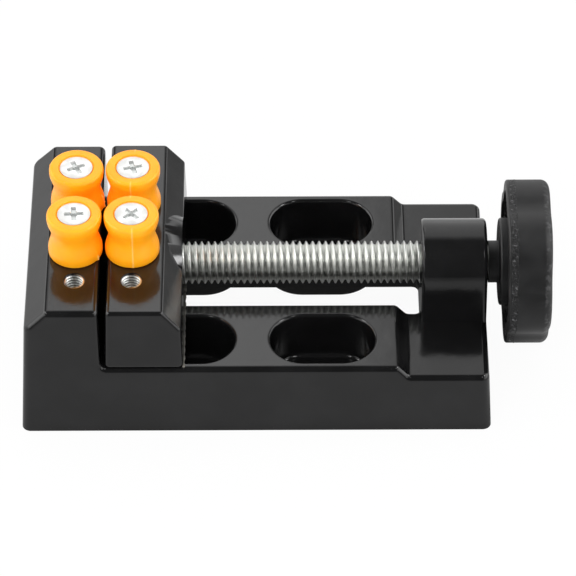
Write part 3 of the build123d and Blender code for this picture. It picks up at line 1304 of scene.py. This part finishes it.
@dataclass
class Pegs(Assembly):
    """Waisted plastic pegs, each with its screw."""

    height: float = 11.55
    foot: float = 6.15
    waist: float = 5.3
    rim: float = 6.2
    rim_flange: float = 1.5
    foot_flange: float = 1.6
    waist_steps: int = 24
    waist_power: float = 0.85
    rim_round: float = 0.8
    foot_round: float = 0.6
    round_steps: int = 6
    recess: float = 3.95
    recess_edge: float = 0.25
    recess_flare: float = 0.2
    recess_lip: float = 0.12
    seat_depth: float = 1.3
    bore: float = 2.6
    head_sink: float = 0.21
    head_radius: float = 3.73
    head_rim: float = 0.15
    head_edge: float = 0.12
    neck_radius: float = 2.5
    shank_radius: float = 2.45
    shank_gap: float = 0.02
    shank_pitch: float = 0.8
    shank_depth: float = 0.42
    screw_length: float = 20.0
    cross_arm: Point = (5.2, 1.35, 1.0)
    cross_taper: Pair = (0.72, 0.7)
    cross_core: Profile = ((0, 1.3), (1.1, 1.3), (1.0, 0), (0.5, -1.0), (0, -1.15))
    turns: dict[str, float] = field(
        default_factory=lambda: {
            "fixed_front": 4.0, "moving_front": 43.0, "fixed_back": 26.0, "moving_back": 14.0,
        }
    )
    seams: dict[str, float] = field(
        default_factory=lambda: {
            "fixed_front": 57.0, "moving_front": 3.0, "fixed_back": 78.0, "moving_back": -4.0,
        }
    )
    seam_lift: float = 0.09
    seam_width: float = 0.34
    seam_margin: float = 0.6
    seam_shade: float = 0.75
    ragged_lift: float = 0.3
    ragged_waves: float = 2.3
    ragged_top: dict[str, float] = field(
        default_factory=lambda: {"fixed_front": 1.6, "fixed_back": 4.2}
    )

    def waist_line(self) -> list[Pair]:
        """Draw the outside of the peg between its rims, as a smooth double curve.

        Returns:
            Radius and height of its points, from the upper one down.
        """
        top, bottom = self.height - self.rim_flange, self.foot_flange
        points = []
        for step in range(self.waist_steps + 1):
            share = step / self.waist_steps
            z = top + (bottom - top) * share
            dip = 0.5 - 0.5 * math.cos(2 * math.pi * share)
            side = self.rim + (self.foot - self.rim) * share
            points.append((side - (side - self.waist) * dip**self.waist_power, z))
        return points

    def rounding(
        self, radius: float, height: float, size: float, top: bool
    ) -> list[Pair]:
        """Draw the quarter round of a peg's edge.

        Args:
            radius: radius of the peg there.
            height: height of the end face.
            size: size of the rounding.
            top: whether the edge is the upper one.

        Returns:
            Its points, from the end face outwards at the top, and inwards at the bottom.
        """
        points = []
        for step in range(self.round_steps + 1):
            angle = math.radians(90 * step / self.round_steps)
            out = radius - size + size * math.sin(angle)
            drop = size - size * math.cos(angle)
            points.append((out, height - drop if top else height + drop))
        return points if top else points[::-1]

    def peg(self) -> bpy.types.Object:
        """Make one peg.

        Returns:
            The peg, standing on the origin.
        """
        floor = self.height - self.head_sink - self.head_rim
        profile = [(self.bore, 0), (self.bore, floor - self.seat_depth), (self.recess, floor)]
        profile.append((self.recess, self.height - self.recess_edge))
        profile.append((self.recess + self.recess_flare, self.height))
        profile += self.rounding(self.rim, self.height, self.rim_round, True)
        profile += self.waist_line()
        profile += self.rounding(self.foot, 0, self.foot_round, False)
        profile.append((self.bore, 0))
        return turned("peg", profile)

    def seam(self, piece: bpy.types.Object, angle: float, ragged: float) -> None:
        """Raise the mould's seam down both sides of a peg.

        Args:
            piece: the peg on the origin.
            angle: where the seam runs, in degrees round from the front.
            ragged: height up to which flash stands out of it.
        """
        turn = Matrix.Rotation(math.radians(-angle), 3, "Z")
        marks = piece.data.attributes.new("seam", "FLOAT", "POINT")
        inside = (self.recess + self.seam_margin) * MM
        for vert in piece.data.vertices:
            spot = turn @ vert.co
            out = math.hypot(spot.x, spot.y)
            if out <= inside or abs(spot.x) >= self.seam_width / 2 * MM:
                continue
            lift = self.seam_lift
            if 0 < ragged and vert.co.z < ragged * MM and spot.y < 0:
                lift += self.ragged_lift * abs(math.sin(vert.co.z / MM * self.ragged_waves))
                marks.data[vert.index].value = 1.0
            elif ragged == 0:
                marks.data[vert.index].value = self.seam_shade
            grow = 1 + lift * MM / out
            vert.co.x *= grow
            vert.co.y *= grow

    def cross(self) -> bpy.types.Object:
        """Make the tool that sinks a cross recess.

        Returns:
            The tool, its mouth at height zero.
        """
        along, across = self.cross_taper
        arms = []
        for turn, taper in ((0, (along, across, 1)), (90, (across, along, 1))):
            arm = block(self.cross_arm, turn=(0, 0, turn))
            with editing(arm, Grip.FACES, lambda _, normal: normal.z < DOWNWARD):
                bpy.ops.transform.resize(value=taper, center_override=(0, 0, 0))
            arms.append(arm)
        tool = arms[0]
        for part in (arms[1], turned("core", self.cross_core, segments=24)):
            modify(tool, "BOOLEAN", operation="UNION", solver="EXACT", object=part)
            bpy.data.objects.remove(part)
        return tool

    def screw(self) -> bpy.types.Object:
        """Make one flat-head screw.

        Returns:
            The screw, its head's top at height zero.
        """
        rim, neck = self.head_radius, self.neck_radius
        under = neck - rim - self.head_rim
        profile = [
            (0, 0), (rim - self.head_edge, 0), (rim, -self.head_edge / 2), (rim, -self.head_rim),
            (neck, under), (0, under),
        ]
        head = turned("head", profile)
        cut(head, self.cross())
        tip = self.shank_gap - self.screw_length
        thread = Thread(
            self.shank_radius, self.shank_pitch, self.shank_depth, tip, under, steps=32
        )
        return join([head, thread.rod("shank")], "peg_screw")

    def build(self, plastic: bpy.types.Material) -> None:
        """Make the pegs and their screws and put them on the jaws.

        Args:
            plastic: material of the pegs.
        """
        head_top = self.limits("peg_screw_fixed_front")[1].z
        recess_top = head_top - self.recess_lip
        zinc = ZincPlate("head_zinc", metallic=0.5, recess_top=recess_top).make()
        peg = self.peg()
        screw = self.screw()
        for jaw, body in (("fixed", Body.BASE), ("moving", Body.JAW)):
            for name in ("front", "back"):
                key = f"{jaw}_{name}"
                middle = self.middle(f"peg_{key}")
                seat = self.limits(f"peg_{key}")[0].z
                piece = copy_of(peg, f"peg_{key}_moulded")
                turn_upright(piece, self.seams[key])
                self.seam(piece, self.seams[key], self.ragged_top.get(key, 0.0))
                move(piece, (middle.x, middle.y, seat))
                smooth(piece, angle=40)
                self.finish(piece, body, Slot.PEG, plastic, [f"peg_{key}"])
                piece = copy_of(screw, f"peg_screw_{key}_zinc")
                turn_upright(piece, self.turns[key])
                move(piece, (middle.x, middle.y, seat + self.height - self.head_sink))
                smooth(piece, angle=30)
                self.finish(piece, body, Slot.ZINC, zinc, [f"peg_screw_{key}"])
        bpy.data.objects.remove(peg)
        bpy.data.objects.remove(screw)


@dataclass
class GuidePlate(Assembly):
    """Plate under the guide walls with its screws and spring washers."""

    plate_edge: float = 0.2
    washer: float = 0.8
    washer_bore: float = 1.6
    washer_radius: float = 2.9
    washer_edge: float = 0.1
    washer_split: Point = (2.4, 0.45, 3)
    split_angle: float = 35.0
    head: float = 2.2
    pan: Profile = (
        (0, 0), (2.8, 0), (2.8, -1.4), (2.55, -1.85), (2.0, -2.13), (1.2, -2.2), (0, -2.2),
    )
    head_slot: Point = (3.0, 0.6, 2.2)
    slot_turns: Pair = (20.0, 110.0)
    shank_radius: float = 1.45
    shank_pitch: float = 0.5
    shank_depth: float = 0.27
    screw_length: float = 8.0

    def washer_ring(self) -> bpy.types.Object:
        """Make one split washer.

        Returns:
            The washer, its upper face at height zero.
        """
        low, edge = -self.washer, self.washer_edge
        inner, outer = self.washer_bore, self.washer_radius
        profile = [
            (inner, 0), (outer - edge, 0), (outer, -edge), (outer, low + edge),
            (outer - edge, low), (inner, low), (inner, 0),
        ]
        ring = turned("washer", profile, segments=64)
        place = ((inner + outer + edge) / 2, 0, low / 2)
        cut(ring, block(self.washer_split, place, (self.split_angle, 0, 0)))
        return ring

    def screw(self) -> bpy.types.Object:
        """Make one pan-head screw, head down.

        Returns:
            The screw, the seat of its head at height zero.
        """
        head = turned("pan", self.pan, segments=64)
        for turn in self.slot_turns:
            cut(head, block(self.head_slot, (0, 0, -self.head), (0, 0, turn)))
        thread = Thread(
            self.shank_radius, self.shank_pitch, self.shank_depth, 0, self.screw_length, steps=24
        )
        return join([head, thread.rod("plate_shank")], "plate_screw")

    def build(self, zinc: bpy.types.Material) -> None:
        """Make the plate and what holds it.

        Args:
            zinc: material of all of them.
        """
        plate = self.solid_copy("guide_plate", "guide_plate_stamped")
        modify(plate, "BEVEL", width=self.plate_edge * MM, segments=2, limit_method="ANGLE")
        smooth(plate)
        self.finish(plate, Body.JAW, Slot.ZINC, zinc, ["guide_plate"])
        ring = self.washer_ring()
        screw = self.screw()
        for name in ("left", "right"):
            x = self.middle(f"guide_plate_washer_{name}").x
            seat = self.limits(f"guide_plate_washer_{name}")[1].z
            piece = copy_of(ring, f"washer_{name}_split", (x, 0, seat))
            smooth(piece)
            self.finish(piece, Body.JAW, Slot.ZINC, zinc, [f"guide_plate_washer_{name}"])
            piece = copy_of(screw, f"plate_screw_{name}_zinc", (x, 0, seat - self.washer))
            smooth(piece, angle=30)
            self.finish(piece, Body.JAW, Slot.ZINC, zinc, [f"guide_plate_screw_{name}"])
        bpy.data.objects.remove(ring)
        bpy.data.objects.remove(screw)


# Studio


@dataclass(frozen=True)
class Light:
    """A square lamp, or a panel that only glossy surfaces show.

    Its level is in watts for a lamp, and the strength of its middle for a panel.
    """

    name: str
    place: Point
    size: Pair
    level: float

    def aim(self, thing: bpy.types.Object, target: Point) -> None:
        """Put an object in the light's place, facing the target.

        Args:
            thing: the lamp or panel.
            target: what it faces, in millimetres.
        """
        thing.location = Vector(self.place) * MM
        aim = Vector(target) - Vector(self.place)
        thing.rotation_euler = aim.to_track_quat("-Z", "Y").to_euler()
        thing.visible_camera = False


@dataclass
class Studio:
    """Pale floor, soft lamps and the camera at the photograph's angle."""

    target: Point = (0.5495, 0.0, 15.92)
    distance: float = 889.21
    elevation: float = 43.62
    azimuth: float = -0.19
    roll: float = -0.08
    lens: float = 239.88
    sensor: float = 36.0
    clip: Pair = (10.0, 20000.0)
    floor_size: float = 6000.0
    floor_sink: float = 0.02
    floor_colour: Colour = (0.9, 0.9, 0.9)
    floor_level: float = 0.84
    floor_seen: float = 0.95
    floor_mirrored: float = 0.8
    near_floor: Pair = (5.0, 30.0)
    near_shade: float = 0.34
    far_floor: Pair = (80.0, 280.0)
    far_shade: float = 0.42
    under_length: Pair = (48.0, 60.0)
    under_width: Pair = (24.0, 34.0)
    under_shade: float = 0.85
    aside_right: Pair = (70.0, 95.0)
    aside_back: Pair = (45.0, 70.0)
    aside_shade: float = 0.8
    ambient: float = 0.97
    front_level: float = 0.08
    front_turn: Pair = (0.26, 0.56)
    back_level: float = 1.03
    side_level: float = 1.6
    side_turn: Pair = (0.55, 0.75)
    side_height: Pair = (0.05, 0.25)
    wedge_start: Pair = (0.3, 0.42)
    wedge_end: Pair = (0.56, 0.66)
    wedge_back: Pair = (0.3, 0.6)
    wedge_height: Pair = (0.15, 0.3)
    wedge_shade: float = 0.85
    panel_core: Pair = (0.4, 0.6)
    aim: Point = (-10.0, 0.0, 20.0)
    lamps: tuple[Light, ...] = (
        Light("key", (-180, -600, 620), (450, 450), 2.2),
        Light("top", (0, 150, 900), (600, 600), 1.0),
    )
    panels: tuple[Light, ...] = (
        Light("back_panel", (-38, 507, 500), (190, 300), 2.1),
        Light("left_panel", (-470, -60, 560), (170, 170), 14.0),
        Light("right_panel", (470, -60, 560), (170, 170), 14.0),
        Light("left_front_panel", (-250, -300, 590), (90, 240), 7.0),
        Light("right_front_panel", (250, -300, 590), (90, 240), 7.0),
    )

    def axes(self) -> tuple[Vector, Vector, Vector]:
        """Work out how the camera stands.

        Returns:
            Its right, up and backward directions.
        """
        a, e, r = (math.radians(v) for v in (self.azimuth, self.elevation, self.roll))
        back = Vector((math.sin(a) * math.cos(e), -math.cos(a) * math.cos(e), math.sin(e)))
        right = Vector((math.cos(a), math.sin(a), 0))
        up = back.cross(right)
        turn = Matrix.Rotation(r, 3, back)
        return turn @ right, turn @ up, back

    def camera(self) -> None:
        """Set the camera up."""
        data = bpy.data.cameras.new("camera")
        data.lens = self.lens
        data.sensor_width = self.sensor
        data.clip_start, data.clip_end = (length * MM for length in self.clip)
        camera = bpy.data.objects.new("camera", data)
        bpy.context.scene.collection.objects.link(camera)
        right, up, back = self.axes()
        turn = Matrix((right, up, back)).transposed().to_4x4()
        place = (Vector(self.target) + back * self.distance) * MM
        camera.matrix_world = Matrix.Translation(place) @ turn
        bpy.context.scene.camera = camera

    def world(self) -> None:
        """White surroundings, darker around the camera's side as in a studio."""
        world = bpy.data.worlds.new("surroundings")
        bpy.context.scene.world = world
        world.use_nodes = True
        world.cycles.sampling_method = "NONE"
        sheet = Sheet(world.node_tree)
        direction = sheet.node("ShaderNodeTexCoord")[0]
        right, _, toward = self.axes()
        facing = sheet.dot(direction, toward)
        sideways = abs(sheet.dot(direction, right))
        _, y, z = sheet.split(direction)
        back = (1 - facing.between(*self.front_turn)) * self.back_level
        sides = sideways.between(*self.side_turn) * self.side_level
        wedge = sideways.between(*self.wedge_start) * (1 - sideways.between(*self.wedge_end))
        wedge = wedge * y.between(*self.wedge_back) * z.between(*self.wedge_height)
        mirrored = (self.front_level + back) * (1 - wedge * self.wedge_shade)
        mirrored = mirrored + sides * z.between(*self.side_height)
        seen, glossy = sheet.rays()
        strength = seen + (1 - seen) * (glossy * mirrored + (1 - glossy) * self.ambient)
        light = {"Color": (1, 1, 1, 1), "Strength": strength}
        background = sheet.node("ShaderNodeBackground", inputs=light)[0]
        sheet.node("ShaderNodeOutputWorld", inputs={"Surface": background})

    @staticmethod
    def ramp(wire: Wire, ends: Pair) -> Wire:
        """Ramp from 0 to 1 between two places in millimetres."""
        return wire.between(ends[0] * MM, ends[1] * MM)

    def floor(self) -> None:
        """Pale floor that keeps the vise's shadow."""
        deselect_everything()
        place = (0, 0, -self.floor_sink * MM)
        bpy.ops.mesh.primitive_plane_add(size=self.floor_size * MM, location=place)
        floor = bpy.context.active_object
        floor.name = "floor"
        material, sheet = new_sheet("pale_floor")
        material.cycles.emission_sampling = "NONE"
        seen, glossy = sheet.rays()
        colour = (*self.floor_colour, 1.0)
        plain = sheet.node("ShaderNodeBsdfDiffuse", inputs={"Color": colour})[0]
        x, y, _ = sheet.split(sheet.place())
        near, far = (self.ramp(y * -1, ends) for ends in (self.near_floor, self.far_floor))
        under = 1 - self.ramp(abs(x), self.under_length)
        under = under * (1 - self.ramp(abs(y), self.under_width))
        aside = self.ramp(x, self.aside_right) * self.ramp(y, self.aside_back)
        mirrored = self.floor_level - near * self.near_shade - far * self.far_shade
        mirrored = glossy * mirrored * (1 - under * self.under_shade)
        mirrored = mirrored * (1 - aside * self.aside_shade)
        share = seen * self.floor_seen + glossy * self.floor_mirrored
        sheet.glow(share, plain, seen + mirrored)
        floor.data.materials.append(material)

    def panel(self, light: Light) -> None:
        """Hang a soft-edged panel that only glossy surfaces show.

        Args:
            light: the panel.
        """
        deselect_everything()
        bpy.ops.mesh.primitive_plane_add(size=MM, location=(0, 0, 0))
        panel = bpy.context.active_object
        panel.name = light.name
        panel.scale = (*light.size, 1)
        settle(panel)
        material, sheet = new_sheet(light.name)
        material.cycles.emission_sampling = "NONE"
        x, y, _ = sheet.split(sheet.place())
        width, height = (length / 2 for length in light.size)
        wide, high = self.panel_core
        share = 1 - self.ramp(abs(x), (width * wide, width))
        share = share * (1 - self.ramp(abs(y), (height * high, height)))
        clear = sheet.node("ShaderNodeBsdfTransparent")[0]
        sheet.glow(share, clear, light.level)
        panel.data.materials.append(material)
        light.aim(panel, self.aim)
        panel.visible_diffuse = False
        panel.visible_shadow = False

    def lamp(self, light: Light) -> None:
        """Hang a square softbox that no glossy surface shows.

        Args:
            light: the lamp.
        """
        data = bpy.data.lights.new(light.name, "AREA")
        data.size = light.size[0] * MM
        data.energy = light.level
        lamp = bpy.data.objects.new(light.name, data)
        bpy.context.scene.collection.objects.link(lamp)
        light.aim(lamp, self.aim)
        lamp.visible_glossy = False

    def build(self) -> None:
        """Set everything up."""
        self.camera()
        self.world()
        self.floor()
        for light in self.lamps:
            self.lamp(light)
        for light in self.panels:
            self.panel(light)


def main() -> None:
    """Build the whole visual model."""
    logging.basicConfig(level=logging.INFO, format="%(message)s")
    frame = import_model()
    ground = ZincPlate(
        "ground_steel",
        colour=(0.6, 0.6, 0.6),
        shade=(0.45, 0.45, 0.45),
        roughness=0.25,
        stretch=(4, 4, 0.4),
    )
    Castings(frame).build(GlossPaint().make())
    TappedHoles(frame).build()
    LeadScrew(frame).build(ground.make())
    Handwheel(frame).build()
    Pegs(frame).build(PegPlastic().make())
    GuidePlate(frame).build(ZincPlate().make())
    Studio().build()
    bpy.context.scene.view_settings.view_transform = "Standard"


if __name__ == "__main__":
    main()
